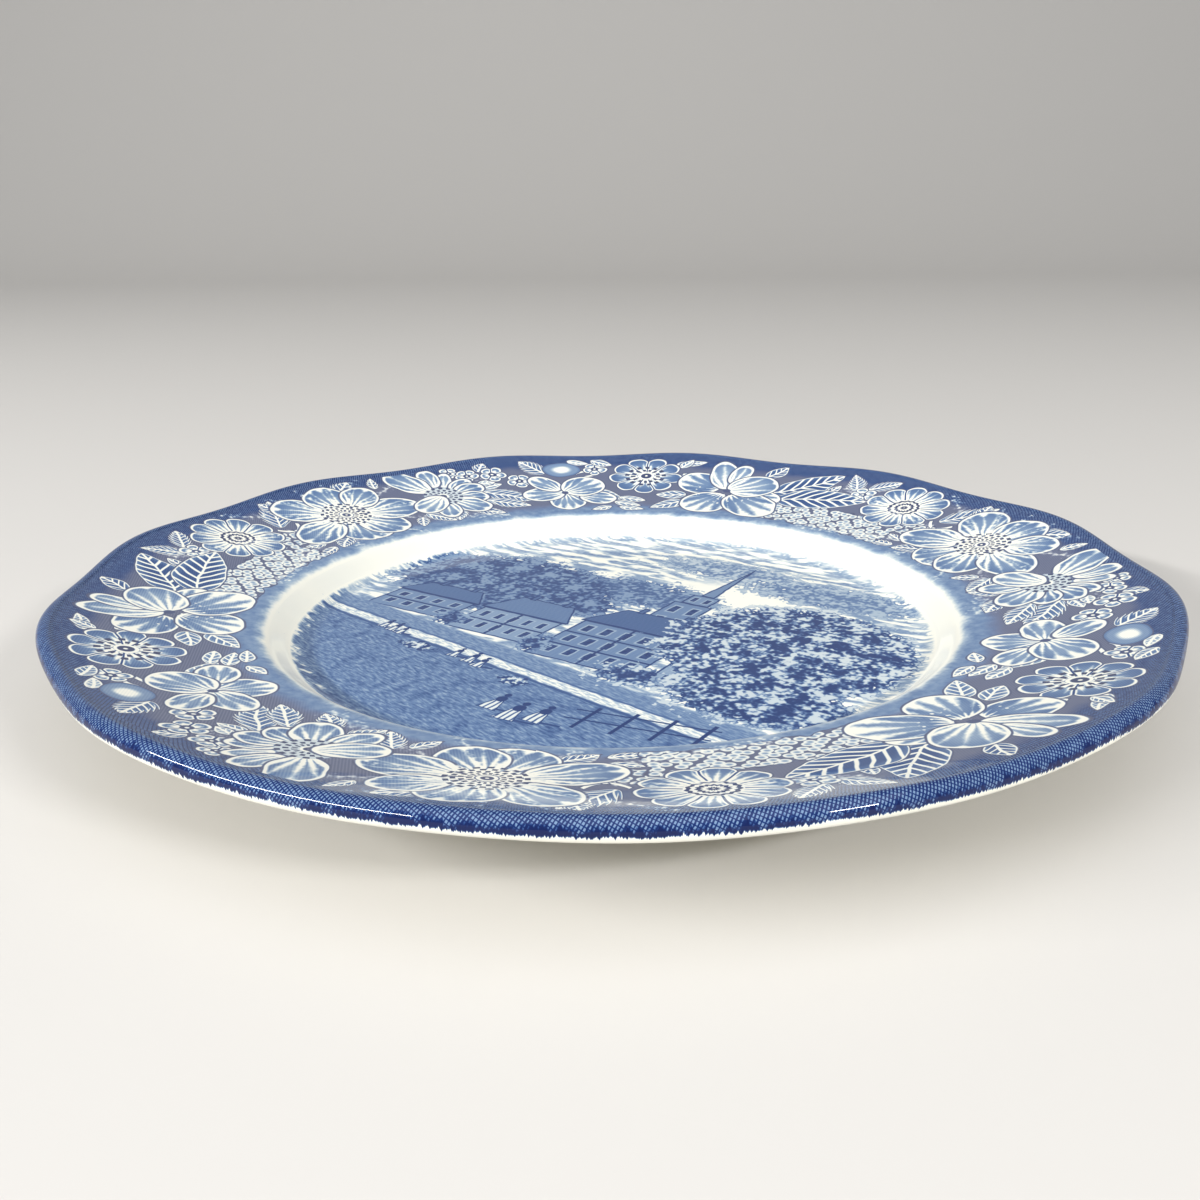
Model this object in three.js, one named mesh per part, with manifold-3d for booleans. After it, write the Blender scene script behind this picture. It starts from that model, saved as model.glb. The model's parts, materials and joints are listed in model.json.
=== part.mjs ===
// A ten-inch printed dinner plate: an earthenware body, its underglaze prints and its clear glaze.
// Millimetres, +Z up. The origin is the centre of the foot ring's bearing plane.
import * as THREE from "three";
import { mergeVertices } from "three/addons/utils/BufferGeometryUtils.js";
import Module from "manifold-3d";

const wasm = await Module();
wasm.setup();

// ---- Driving dimensions of the fired clay body ----
const LIP_RADIUS = 124.6; // mean radius at the equator of the rounded lip
const LIP_ROUND = 1.75; // radius of the rounded lip
const SIDES = 12; // softly straight sides round the rim
const SIDE_TURN = 17.5; // degrees, azimuth of the first corner
const SIDE_DEPTH = 0.7; // the corners stand this far out of the mean circle
const CORNER_RISE = 0.75; // and are lifted by this share of their reach

const FLOOR_TOP = 8; // height of the well's floor
const FLOOR_RADIUS = 71;
const WELL_FILLET = 8.5; // hollow round from the floor into the shoulder
const RIM_FILLET = 7; // convex round from the shoulder onto the rim
const RIM_START = 83; // radius where the rim begins
const RIM_START_TOP = 14.4;
const RIM_SLOPE = 0.12; // at RIM_START
const RIM_CURL = 0.0026; // the slope grows by twice this per millimetre outwards
const RIM_RADII = [94, 107]; // where the rim's curve is sampled, inside the edge band
const RIM_THICKNESS = [[118, 3.9], [104, 4.15], [90, 4.4], [84, 5.3]]; // [radius, thickness]
const HEEL = [[79.2, 5.4], [76.2, 3.7], [74.7, 2.7]]; // [radius, height], from the rim down to the foot

const BASE_UNDER = 3.2; // height of the recessed base inside the foot ring
const FOOT_INNER = 69.8;
const FOOT_OUTER = 73.6;
const FOOT_EDGE = 0.6; // width of the bevel at each edge of the bearing face
const FOOT_EDGE_RISE = 0.24; // height of that bevel
const FOOT_EDGE_LEFT = 0.06; // its upper edge stops this far short of the full width
const FOOT_LEAN = 0.2; // each wall has leant out this far at the height where the glaze starts
const FOOT_COVE = [[68.7, 2.6], [67.6, BASE_UNDER]]; // [radius, height], hollow from the foot to the base

// ---- Layers on the body ----
const GAP = 0.05; // clearance kept between neighbouring layers
const PRINT = 0.08; // thickness of a colour print
const GLAZE = 0.22; // thickness of the clear glaze
const GLAZE_FROM = GAP + PRINT + GAP; // the glaze lies over the prints
const SCENE_RADIUS = 75.4; // the round centre print ends here, part way up the well's hollow
const BORDER_INNER = 79.5; // the floral border runs from here
const BORDER_OUTER = 120.4; // to here, where the edge band takes over
const BAND_INNER = 120.7;
const BORDER_LENGTHS = 3; // the border is one engraved length laid three times
const JOIN = 0.15; // degrees left open at each join between border lengths
const MARK_RADIUS = 9; // plain wreath mark under the base
const MARK_HOLE = 5.5;
const MARK_OFFSET = 22; // the mark's centre, away from the plate's centre
const MARK_SEGMENTS = 16;
const FOOT_BARE = 0.9; // the glaze is wiped off the foot up to this height

const STEPS = 60; // facets round the plate, a multiple of SIDES
const FILLET_POINTS = 3; // points along each fillet of the profile
const LIP_POINTS = 4; // points along the upper half of the lip
const LIP_UNDER_FROM = -5; // degrees, where the lower half of the lip starts
const WELD = 1e-3; // points closer than this are one
const radians = THREE.MathUtils.degToRad;

// ---- The rim's outline ----
const cornerReach = (azimuth) => SIDE_DEPTH * Math.cos(SIDES * (azimuth - radians(SIDE_TURN)));

const rimTop = (r) => RIM_START_TOP + RIM_SLOPE * (r - RIM_START) + RIM_CURL * (r - RIM_START) ** 2;
const rimSlope = (r) => RIM_SLOPE + 2 * RIM_CURL * (r - RIM_START);

// Moves a revolved shape's points out and up at the corners, so that its edge gets its sides.
function giveSides(geometry) {
  const position = geometry.attributes.position;
  for (let i = 0; i < position.count; i++) {
    const x = position.getX(i);
    const y = position.getY(i);
    const r = Math.hypot(x, y);
    const share = THREE.MathUtils.clamp((r - RIM_START) / (LIP_RADIUS - RIM_START), 0, 1) ** 2;
    if (share === 0) continue;
    const reach = share * cornerReach(Math.atan2(y, x));
    const scale = (r + reach) / r;
    position.setXYZ(i, x * scale, y * scale, position.getZ(i) + reach * CORNER_RISE);
  }
  return geometry;
}

// ---- Profiles, as [radius, height] points ----
// An arc of a surface profile, from one slope to another. Its centre is above the arc when hollow.
function slopeArc([centreR, centreZ], radius, fromDeg, toDeg, hollow) {
  const side = hollow ? 1 : -1;
  return Array.from({ length: FILLET_POINTS }, (_, i) => {
    const slope = radians(fromDeg + ((toDeg - fromDeg) * i) / (FILLET_POINTS - 1));
    return [
      centreR + side * radius * Math.sin(slope),
      centreZ - side * radius * Math.cos(slope),
    ];
  });
}

const rimStart = Math.atan(RIM_SLOPE);
const rimStartDeg = THREE.MathUtils.radToDeg(rimStart);
const wellCentre = [FLOOR_RADIUS, FLOOR_TOP + WELL_FILLET];
const rimFilletCentre = [
  RIM_START + RIM_FILLET * Math.sin(rimStart),
  RIM_START_TOP - RIM_FILLET * Math.cos(rimStart),
];

// The shoulder is the straight line that touches both fillets. Its slope, in degrees.
function shoulderSlope() {
  const across = rimFilletCentre[0] - wellCentre[0];
  const up = rimFilletCentre[1] - wellCentre[1];
  const opening = Math.acos((WELL_FILLET + RIM_FILLET) / Math.hypot(across, up));
  return 90 + THREE.MathUtils.radToDeg(Math.atan2(up, across) - opening);
}

const shoulderDeg = shoulderSlope();
const lipTopRadius = LIP_RADIUS - LIP_ROUND;
const lipSlopeDeg = THREE.MathUtils.radToDeg(Math.atan(rimSlope(lipTopRadius)));
const lipCentre = [
  lipTopRadius,
  rimTop(lipTopRadius) - LIP_ROUND * Math.cos(radians(lipSlopeDeg)),
];

function lipArc(fromDeg, toDeg, count) {
  return Array.from({ length: count }, (_, i) => {
    const angle = radians(fromDeg + ((toDeg - fromDeg) * i) / (count - 1));
    return [lipCentre[0] + LIP_ROUND * Math.cos(angle), lipCentre[1] + LIP_ROUND * Math.sin(angle)];
  });
}

const LIP_TOP_ANGLE = 90 + lipSlopeDeg; // where the lip's round meets the rim's top
const wellTop = [
  [0, FLOOR_TOP],
  ...slopeArc(wellCentre, WELL_FILLET, 0, shoulderDeg, true),
  ...slopeArc(rimFilletCentre, RIM_FILLET, shoulderDeg, rimStartDeg, false),
];
const rimTopPoints = [...RIM_RADII, BORDER_OUTER].map((r) => [r, rimTop(r)]);
const lipTop = lipArc(LIP_TOP_ANGLE, 0, LIP_POINTS);
const lipUnder = lipArc(LIP_UNDER_FROM, -90 + lipSlopeDeg, LIP_POINTS - 1);
const underside = [...RIM_THICKNESS.map(([r, thickness]) => [r, rimTop(r) - thickness]), ...HEEL];
const footOuterWall = [[FOOT_OUTER + FOOT_LEAN, FOOT_BARE]];
const footBearing = [
  [FOOT_OUTER - FOOT_EDGE_LEFT, FOOT_EDGE_RISE],
  [FOOT_OUTER - FOOT_EDGE, 0],
  [FOOT_INNER + FOOT_EDGE, 0],
  [FOOT_INNER + FOOT_EDGE_LEFT, FOOT_EDGE_RISE],
];
const footInnerWall = [[FOOT_INNER - FOOT_LEAN, FOOT_BARE]];
const base = [...FOOT_COVE, [0, BASE_UNDER]];

// A profile moved along its own normal, out of the clay for a path that keeps the clay on its right.
function offset(path, distance) {
  return path.map((point, i) => {
    const before = path[Math.max(0, i - 1)];
    const after = path[Math.min(path.length - 1, i + 1)];
    const into = new THREE.Vector2(point[0] - before[0], point[1] - before[1]);
    const out = new THREE.Vector2(after[0] - point[0], after[1] - point[1]);
    if (i === 0) into.copy(out);
    if (i === path.length - 1) out.copy(into);
    const along = into.normalize().add(out.normalize()).normalize();
    return [point[0] - along.y * distance, point[1] + along.x * distance];
  });
}

// ---- Solids ----
function signedArea(loop) {
  return loop.reduce((sum, [r, z], i) => {
    const [nextR, nextZ] = loop[(i + 1) % loop.length];
    return sum + r * nextZ - nextR * z;
  }, 0);
}

// Turns a loop round so that it starts and ends on the axis.
function fromAxis(loop) {
  const start = loop.findIndex(([r], i) => r === 0 && loop.at(i - 1)[0] === 0);
  return [...loop.slice(start), ...loop.slice(0, start)];
}

// Splits each facet of a revolved path from its inner corner to its outer one, whichever way the path
// runs, so that the facets of neighbouring layers stay parallel.
function splitAlike(geometry, path) {
  const index = [];
  for (let step = 0; step < STEPS; step++) {
    for (let j = 0; j < path.length - 1; j++) {
      const a = step * path.length + j;
      const b = a + path.length;
      const outwards = path[j + 1][0] > path[j][0];
      index.push(...(outwards ? [a, b, b + 1, a, b + 1, a + 1] : [a, b, a + 1, b + 1, a + 1, b]));
    }
  }
  geometry.setIndex(index);
}

// Revolves a loop whose ends are on the axis, or one that stays clear of it and so closes on itself.
function revolve(loop) {
  const points = signedArea(loop) > 0 ? loop : [...loop].reverse();
  const path = loop.some(([r]) => r === 0) ? fromAxis(points) : [...points, points[0]];
  const geometry = new THREE.LatheGeometry(
    path.map(([r, z]) => new THREE.Vector2(r, z)), STEPS, radians(SIDE_TURN),
  );
  splitAlike(geometry, path);
  geometry.rotateX(Math.PI / 2);
  return giveSides(geometry);
}

// A layer over a stretch of the surface, between two distances from it.
const layer = (path, from, to) => revolve([...offset(path, from), ...offset(path, to).reverse()]);

// Height at radius r on the straight line between two profile points.
const heightBetween = (a, b, r) => a[1] + ((b[1] - a[1]) * (r - a[0])) / (b[0] - a[0]);

function toSolid(geometry) {
  const bare = geometry.clone();
  bare.deleteAttribute("normal");
  bare.deleteAttribute("uv");
  const merged = mergeVertices(bare, WELD);
  return new wasm.Manifold(
    new wasm.Mesh({
      numProp: 3,
      vertProperties: merged.attributes.position.array,
      triVerts: new Uint32Array(merged.index.array),
    }),
  );
}

function toGeometry(solid) {
  const mesh = solid.getMesh();
  const geometry = new THREE.BufferGeometry();
  geometry.setAttribute("position", new THREE.BufferAttribute(mesh.vertProperties, 3));
  geometry.setIndex(new THREE.BufferAttribute(mesh.triVerts, 1));
  geometry.computeVertexNormals();
  return geometry;
}

// The stretch of a ring between two azimuths, in degrees and less than half a turn apart.
function cutLength(ringGeometry, fromDeg, toDeg) {
  const reach = 3 * LIP_RADIUS;
  const wedge = new THREE.Shape();
  wedge.moveTo(0, 0);
  for (const share of [0, 0.5, 1]) {
    const azimuth = radians(fromDeg + (toDeg - fromDeg) * share);
    wedge.lineTo(reach * Math.cos(azimuth), reach * Math.sin(azimuth));
  }
  wedge.closePath();
  const block = new THREE.ExtrudeGeometry(wedge, { depth: 2 * LIP_RADIUS, bevelEnabled: false });
  block.translate(0, 0, -LIP_RADIUS);
  return toGeometry(toSolid(ringGeometry).intersect(toSolid(block)));
}

// ---- Finishes ----
const BISCUIT = { color: 0xe9e4d6, roughness: 0.75 };
const SCENE_BLUE = { color: 0x6f86b8, roughness: 0.6 };
const BORDER_BLUE = { color: 0x7d90bd, roughness: 0.6 };
const EDGE_COBALT = { color: 0x1f3f86, roughness: 0.6 };
const MARK_BLUE = { color: 0x3f5c9c, roughness: 0.6 };
const CLEAR_GLAZE = { color: 0xf1eee2, roughness: 0.08 };

// ---- The assembly ----
const plate = new THREE.Group();

function addPiece(name, geometry, finish) {
  const material = new THREE.MeshStandardMaterial({ ...finish, metalness: 0 });
  const mesh = new THREE.Mesh(geometry, material);
  mesh.name = name;
  plate.add(mesh);
}

function buildBody() {
  return revolve([
    ...wellTop, ...rimTopPoints, ...lipTop, ...lipUnder, ...underside,
    ...footOuterWall, ...footBearing, ...footInnerWall, ...base,
  ]);
}

const buildFaceGlaze = () =>
  layer([...wellTop, ...rimTopPoints, ...lipTop], GLAZE_FROM, GLAZE_FROM + GLAZE);

const buildUndersideGlaze = () =>
  layer([...lipUnder, ...underside, ...footOuterWall], GLAZE_FROM, GLAZE_FROM + GLAZE);

const buildBaseGlaze = () => layer([...footInnerWall, ...base], GLAZE_FROM, GLAZE_FROM + GLAZE);

function buildScenePrint() {
  const [centre, floorEdge, hollow, shoulderFoot] = wellTop;
  const end = [SCENE_RADIUS, heightBetween(hollow, shoulderFoot, SCENE_RADIUS)];
  return layer([centre, floorEdge, hollow, end], GAP, GAP + PRINT);
}

function buildBorderRing() {
  const [below, above, outermost] = wellTop.slice(-3);
  const start = [BORDER_INNER, heightBetween(below, above, BORDER_INNER)];
  return layer([start, above, outermost, ...rimTopPoints], GAP, GAP + PRINT);
}

function buildEdgeBand() {
  const start = [BAND_INNER, heightBetween(rimTopPoints.at(-1), lipTop[0], BAND_INNER)];
  return layer([start, ...lipTop], GAP, GAP + PRINT);
}

function buildMark() {
  const top = BASE_UNDER - GAP;
  const shape = new THREE.Shape().absarc(0, 0, MARK_RADIUS, 0, 2 * Math.PI);
  shape.holes.push(new THREE.Path().absarc(0, 0, MARK_HOLE, 0, 2 * Math.PI, true));
  const settings = { depth: PRINT, bevelEnabled: false, curveSegments: MARK_SEGMENTS };
  return new THREE.ExtrudeGeometry(shape, settings).translate(0, MARK_OFFSET, top - PRINT);
}

addPiece("plate_body", buildBody(), BISCUIT);
addPiece("centre_scene_print", buildScenePrint(), SCENE_BLUE);

const borderRing = buildBorderRing();
const lengthDeg = 360 / BORDER_LENGTHS;
const joinStart = SIDE_TURN + 180 / STEPS;
for (let i = 0; i < BORDER_LENGTHS; i++) {
  const from = joinStart + i * lengthDeg;
  const name = "border_print_" + (i + 1);
  addPiece(name, cutLength(borderRing, from + JOIN, from + lengthDeg - JOIN), BORDER_BLUE);
}

addPiece("edge_band_print", buildEdgeBand(), EDGE_COBALT);
addPiece("base_mark_print", buildMark(), MARK_BLUE);
addPiece("face_glaze", buildFaceGlaze(), CLEAR_GLAZE);
addPiece("underside_glaze", buildUndersideGlaze(), CLEAR_GLAZE);
addPiece("base_glaze", buildBaseGlaze(), CLEAR_GLAZE);

export default plate;
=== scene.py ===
import json
import math

import bpy
import numpy as np
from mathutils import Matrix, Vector

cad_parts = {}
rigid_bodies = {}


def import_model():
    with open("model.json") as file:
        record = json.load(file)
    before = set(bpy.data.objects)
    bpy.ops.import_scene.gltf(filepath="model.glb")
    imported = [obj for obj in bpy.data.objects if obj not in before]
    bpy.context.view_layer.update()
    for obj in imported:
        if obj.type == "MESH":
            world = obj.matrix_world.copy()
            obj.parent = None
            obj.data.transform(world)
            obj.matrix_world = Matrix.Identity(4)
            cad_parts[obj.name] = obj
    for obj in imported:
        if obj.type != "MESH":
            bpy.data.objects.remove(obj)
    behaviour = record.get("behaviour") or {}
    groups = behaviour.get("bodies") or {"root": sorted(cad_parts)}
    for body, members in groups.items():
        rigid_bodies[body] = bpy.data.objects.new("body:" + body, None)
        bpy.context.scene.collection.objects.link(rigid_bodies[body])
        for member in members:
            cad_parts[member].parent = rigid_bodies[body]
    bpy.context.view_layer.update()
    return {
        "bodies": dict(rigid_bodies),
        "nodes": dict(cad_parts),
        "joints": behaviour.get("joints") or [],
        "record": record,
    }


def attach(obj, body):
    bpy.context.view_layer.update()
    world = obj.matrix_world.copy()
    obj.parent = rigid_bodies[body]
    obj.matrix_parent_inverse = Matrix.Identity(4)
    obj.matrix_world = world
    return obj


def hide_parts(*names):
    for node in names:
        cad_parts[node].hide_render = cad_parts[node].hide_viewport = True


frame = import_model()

MM = 0.001
STEPS = 360  # points round the plate
QUARTER = math.pi / 2
TAU = 2 * math.pi

# ---- The plate's shape, in millimetres, as in the CAD ----
LIP_RADIUS = 124.6
LIP_ROUND = 1.75
SIDES = 12
SIDE_TURN = math.radians(17.5)
SIDE_DEPTH = 0.7
CORNER_RISE = 0.75
FLOOR_TOP = 8.0
FLOOR_RADIUS = 71.0
WELL_FILLET = 8.5
RIM_FILLET = 7.0
RIM_START = 83.0
RIM_START_TOP = 14.4
RIM_SLOPE = 0.12
RIM_CURL = 0.0026
RIM_THICKNESS = ((118, 3.9), (104, 4.15), (90, 4.4), (84, 5.3))
HEEL = ((79.2, 5.4), (76.2, 3.7), (74.7, 2.7))
FOOT_WALL_OUT = ((74.1, 1.8), (73.8, 0.9))
FOOT_RING = ((73.8, 0.9), (73.66, 0.5), (73.45, 0.18), (73.1, 0.02), (72.9, 0.0), (70.5, 0.0), (70.3, 0.02))
FOOT_RING_IN = ((69.95, 0.18), (69.74, 0.5), (69.6, 0.9))
FOOT_COVE = ((69.6, 0.9), (69.25, 1.8), (68.7, 2.6), (67.9, 3.05), (66.8, 3.2))
BASE_UNDER = 3.2
LAYERS = 0.40  # the glaze's outer face stands this far off the clay
LAYER_INSIDE = 0.05
SCENE_RADIUS = 75.4
BORDER_INNER = 79.5
BORDER_OUTER = 120.4
BAND_END = math.radians(-30)  # how far round the lip the edge band's pieces go
BORDER_FROM = 20.5  # degrees, where the first border length starts
BORDER_LENGTHS = 3
SECTOR = 30  # degrees
SCENE_UP = math.radians(56)  # azimuth of the picture's up
MARK_RADIUS = 9.0
MARK_OFFSET = 22.0
MARK_STEPS = 64
MARK_LIFT = 0.01  # the mark's face stands this far off the base's glaze
MARK_THICKNESS = 0.06
WREATH_RADIUS = 6.4

# How finely the profile is drawn
FILLET_STEPS = 12
RIM_POINTS = 19
LIP_UPPER_STEPS = 14
LIP_LOWER_STEPS = 6
UNDER_STEPS = 6

# ---- Profiles: lists of (radius, height) ----


def rim_top(r):
    return RIM_START_TOP + RIM_SLOPE * (r - RIM_START) + RIM_CURL * (r - RIM_START) ** 2


def arc(centre, radius, start, end, count):
    """Points on a circle between two angles, without the last."""
    angles = [start + (end - start) * i / count for i in range(count)]
    return [(centre[0] + radius * math.cos(a), centre[1] + radius * math.sin(a)) for a in angles]


def smooth_curve(points, count):
    """A Catmull-Rom curve through the points, with count steps between each two."""
    ends = [tuple(2 * a - b for a, b in zip(points[0], points[1]))]
    tail = [tuple(2 * a - b for a, b in zip(points[-1], points[-2]))]
    padded = ends + list(points) + tail
    curve = []
    for p0, p1, p2, p3 in zip(padded, padded[1:], padded[2:], padded[3:]):
        for i in range(count):
            t = i / count
            curve.append(tuple(
                0.5 * (2 * b + (c - a) * t + (2 * a - 5 * b + 4 * c - d) * t ** 2
                       + (3 * b - a - 3 * c + d) * t ** 3)
                for a, b, c, d in zip(p0, p1, p2, p3)))
    curve.append(tuple(points[-1]))
    return curve


def shoulder_slope(well_centre, rim_centre):
    across = rim_centre[0] - well_centre[0]
    up = rim_centre[1] - well_centre[1]
    opening = math.acos((WELL_FILLET + RIM_FILLET) / math.hypot(across, up))
    return QUARTER + math.atan2(up, across) - opening


def face_profile():
    """The clay's face, from the axis to the lip's top, with points where pieces meet."""
    rim_start = math.atan(RIM_SLOPE)
    well_centre = (FLOOR_RADIUS, FLOOR_TOP + WELL_FILLET)
    rim_centre = (RIM_START + RIM_FILLET * math.sin(rim_start),
                  RIM_START_TOP - RIM_FILLET * math.cos(rim_start))
    slope = shoulder_slope(well_centre, rim_centre)
    floor = [(r, FLOOR_TOP) for r in (0, 8, 20, 32, 44, 56, 64, 69)]
    well = arc(well_centre, WELL_FILLET, -QUARTER, slope - QUARTER, FILLET_STEPS)
    shoulder = arc(rim_centre, RIM_FILLET, slope + QUARTER, rim_start + QUARTER, FILLET_STEPS)
    rim = [(r, rim_top(r)) for r in np.linspace(RIM_START, BORDER_OUTER, RIM_POINTS).tolist()]
    outer_rim = [(r, rim_top(r)) for r in (121.0, 121.7, 122.3)]
    return floor + well + shoulder + rim + outer_rim


def lip_profile():
    top = LIP_RADIUS - LIP_ROUND
    slope = math.atan(RIM_SLOPE + 2 * RIM_CURL * (top - RIM_START))
    centre = (top, rim_top(top) - LIP_ROUND * math.cos(slope))
    upper = arc(centre, LIP_ROUND, QUARTER + slope, BAND_END, LIP_UPPER_STEPS)
    lower = arc(centre, LIP_ROUND, BAND_END, slope - QUARTER, LIP_LOWER_STEPS)
    return upper, lower


def under_profile():
    rim = [(r, rim_top(r) - thickness) for r, thickness in RIM_THICKNESS]
    return smooth_curve(rim + list(HEEL) + list(FOOT_WALL_OUT), UNDER_STEPS)


def with_normals(path):
    """Adds to each point of a path the unit normal on its left, which is out of the clay."""
    points = np.array(path, float)
    along = np.gradient(points, axis=0)
    along /= np.linalg.norm(along, axis=1)[:, None]
    normals = np.stack([-along[:, 1], along[:, 0]], axis=1)
    return points, normals


def give_sides(r, z, azimuth):
    """Moves points out and up at the corners of the rim, as the CAD does."""
    share = np.clip((r - RIM_START) / (LIP_RADIUS - RIM_START), 0, 1) ** 2
    reach = share * SIDE_DEPTH * np.cos(SIDES * (azimuth - SIDE_TURN))
    return r + reach, z + reach * CORNER_RISE


def revolved(points, azimuths):
    """Positions on the surface swept by a profile, as an array [point, azimuth, xyz]."""
    r, z = give_sides(points[:, :1], points[:, 1:], azimuths[None, :])
    r = np.where(points[:, :1] == 0, 0, r)
    return np.stack([r * np.cos(azimuths), r * np.sin(azimuths), z], axis=2)


def surface_normals(points, azimuths):
    """Normals of the swept surface, from small steps along the profile and round the axis."""
    small = 1e-4
    round_step = revolved(points, azimuths + small) - revolved(points, azimuths - small)
    grid = revolved(points, azimuths)
    along_step = np.gradient(grid, axis=0)
    normals = np.cross(round_step, along_step)
    normals[points[:, 0] == 0] = (0, 0, math.copysign(1, points[0, 0] - points[-1, 0]))
    return -normals / np.linalg.norm(normals, axis=2)[:, :, None]


# ---- Meshes ----


class Skin:
    """A profile on the clay and the layers above it, from which pieces are cut."""

    def __init__(self, path):
        self.clay, self.normals = with_normals(path)
        self.outside = self.clay + self.normals * LAYERS
        self.inside = self.clay + self.normals * LAYER_INSIDE
        on_axis = self.clay[:, 0] == 0
        self.outside[on_axis, 0] = 0
        self.inside[on_axis, 0] = 0
        steps = np.diff(self.outside, axis=0)
        lengths = np.linalg.norm(steps, axis=1)
        self.run = np.concatenate([[0], np.cumsum(lengths)])

    def shell(self, name, first, last, start, end, print_at):
        """A closed shell over the profile's points first to last and the azimuths start to end."""
        whole = end - start >= STEPS
        turns = np.arange(start, end + (0 if whole else 1))
        azimuths = np.radians((BORDER_FROM + turns * 360 / STEPS) % 360)
        flat = np.radians(BORDER_FROM + turns * 360 / STEPS)
        rows = slice(first, last + 1)
        top = revolved(self.outside[rows], azimuths)
        bottom = revolved(self.inside[rows], azimuths)
        normals = surface_normals(self.outside, azimuths)[rows]
        where = print_at(top, self.run[rows], flat)
        return closed_mesh(name, top, bottom, normals, where, whole)


def mesh_object(name, points, faces, marks):
    """A smooth object from points in millimetres. The marks say where each reads the print."""
    used = sorted({v for face in faces for v in face})
    new = {old: i for i, old in enumerate(used)}
    mesh = bpy.data.meshes.new(name)
    mesh.from_pydata((points[used] * MM).tolist(), [], [[new[v] for v in face] for face in faces])
    mesh.shade_smooth()
    attribute = mesh.attributes.new("print_at", "FLOAT_VECTOR", "POINT")
    attribute.data.foreach_set("vector", marks[used].astype(np.float32).ravel())
    piece = bpy.data.objects.new(name, mesh)
    bpy.context.scene.collection.objects.link(piece)
    return piece, used


def closed_mesh(name, top, bottom, normals, where, whole):
    """A mesh object from two grids of points, one over the other, joined round their edges."""
    rows, columns = top.shape[:2]
    index = np.arange(rows * columns).reshape(rows, columns)
    for row in (0, rows - 1):
        if np.allclose(top[row, :, :2], 0):
            index[row] = index[row, 0]
    offset = rows * columns
    points = np.concatenate([top.reshape(-1, 3), bottom.reshape(-1, 3)])
    marks = np.concatenate([where.reshape(-1, 3), where.reshape(-1, 3)])
    shades = np.concatenate([normals.reshape(-1, 3), -normals.reshape(-1, 3)])
    across = columns if whole else columns - 1
    faces = []
    kinds = []

    def add(corners, kind):
        tidy = [c for i, c in enumerate(corners) if c != corners[i - 1]]
        if len(set(tidy)) > 2:
            faces.append(tidy)
            kinds.append(kind)

    for i in range(rows - 1):
        for j in range(across):
            k = (j + 1) % columns
            a, b, c, d = index[i, j], index[i, k], index[i + 1, k], index[i + 1, j]
            add([a, d, c, b], True)
            add([a + offset, b + offset, c + offset, d + offset], True)
    for j in range(across):
        k = (j + 1) % columns
        for row, order in ((0, 1), (rows - 1, -1)):
            a, b = index[row, j], index[row, k]
            wall = [a, b, b + offset, a + offset][::order]
            add(wall, False)
    if not whole:
        for i in range(rows - 1):
            for column, order in ((0, -1), (columns - 1, 1)):
                a, b = index[i, column], index[i + 1, column]
                wall = [a, b, b + offset, a + offset][::order]
                add(wall, False)
    piece, used = mesh_object(name, points, faces, marks)
    shades = shades[used]
    corner_normals = []
    for polygon, smooth in zip(piece.data.polygons, kinds):
        for v in polygon.vertices:
            corner_normals.append(tuple(shades[v]) if smooth else tuple(polygon.normal))
    piece.data.normals_split_custom_set(corner_normals)
    return piece


def finish_piece(piece, material, slot, *nodes):
    piece.data.materials.append(material)
    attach(piece, "root")
    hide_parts(*nodes)


# ---- Nodes with arithmetic ----


class Value:
    """A number or colour that a material works out at each point. Arithmetic on it adds Math nodes."""

    def __init__(self, sheet, socket):
        self.sheet = sheet
        self.socket = socket

    def __add__(self, other):
        return self.sheet.math("ADD", self, other)

    def __sub__(self, other):
        return self.sheet.math("SUBTRACT", self, other)

    def __rsub__(self, other):
        return self.sheet.math("SUBTRACT", other, self)

    def __mul__(self, other):
        return self.sheet.math("MULTIPLY", self, other)

    def __abs__(self):
        return self.sheet.math("ABSOLUTE", self)

    __radd__ = __add__
    __rmul__ = __mul__


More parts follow.
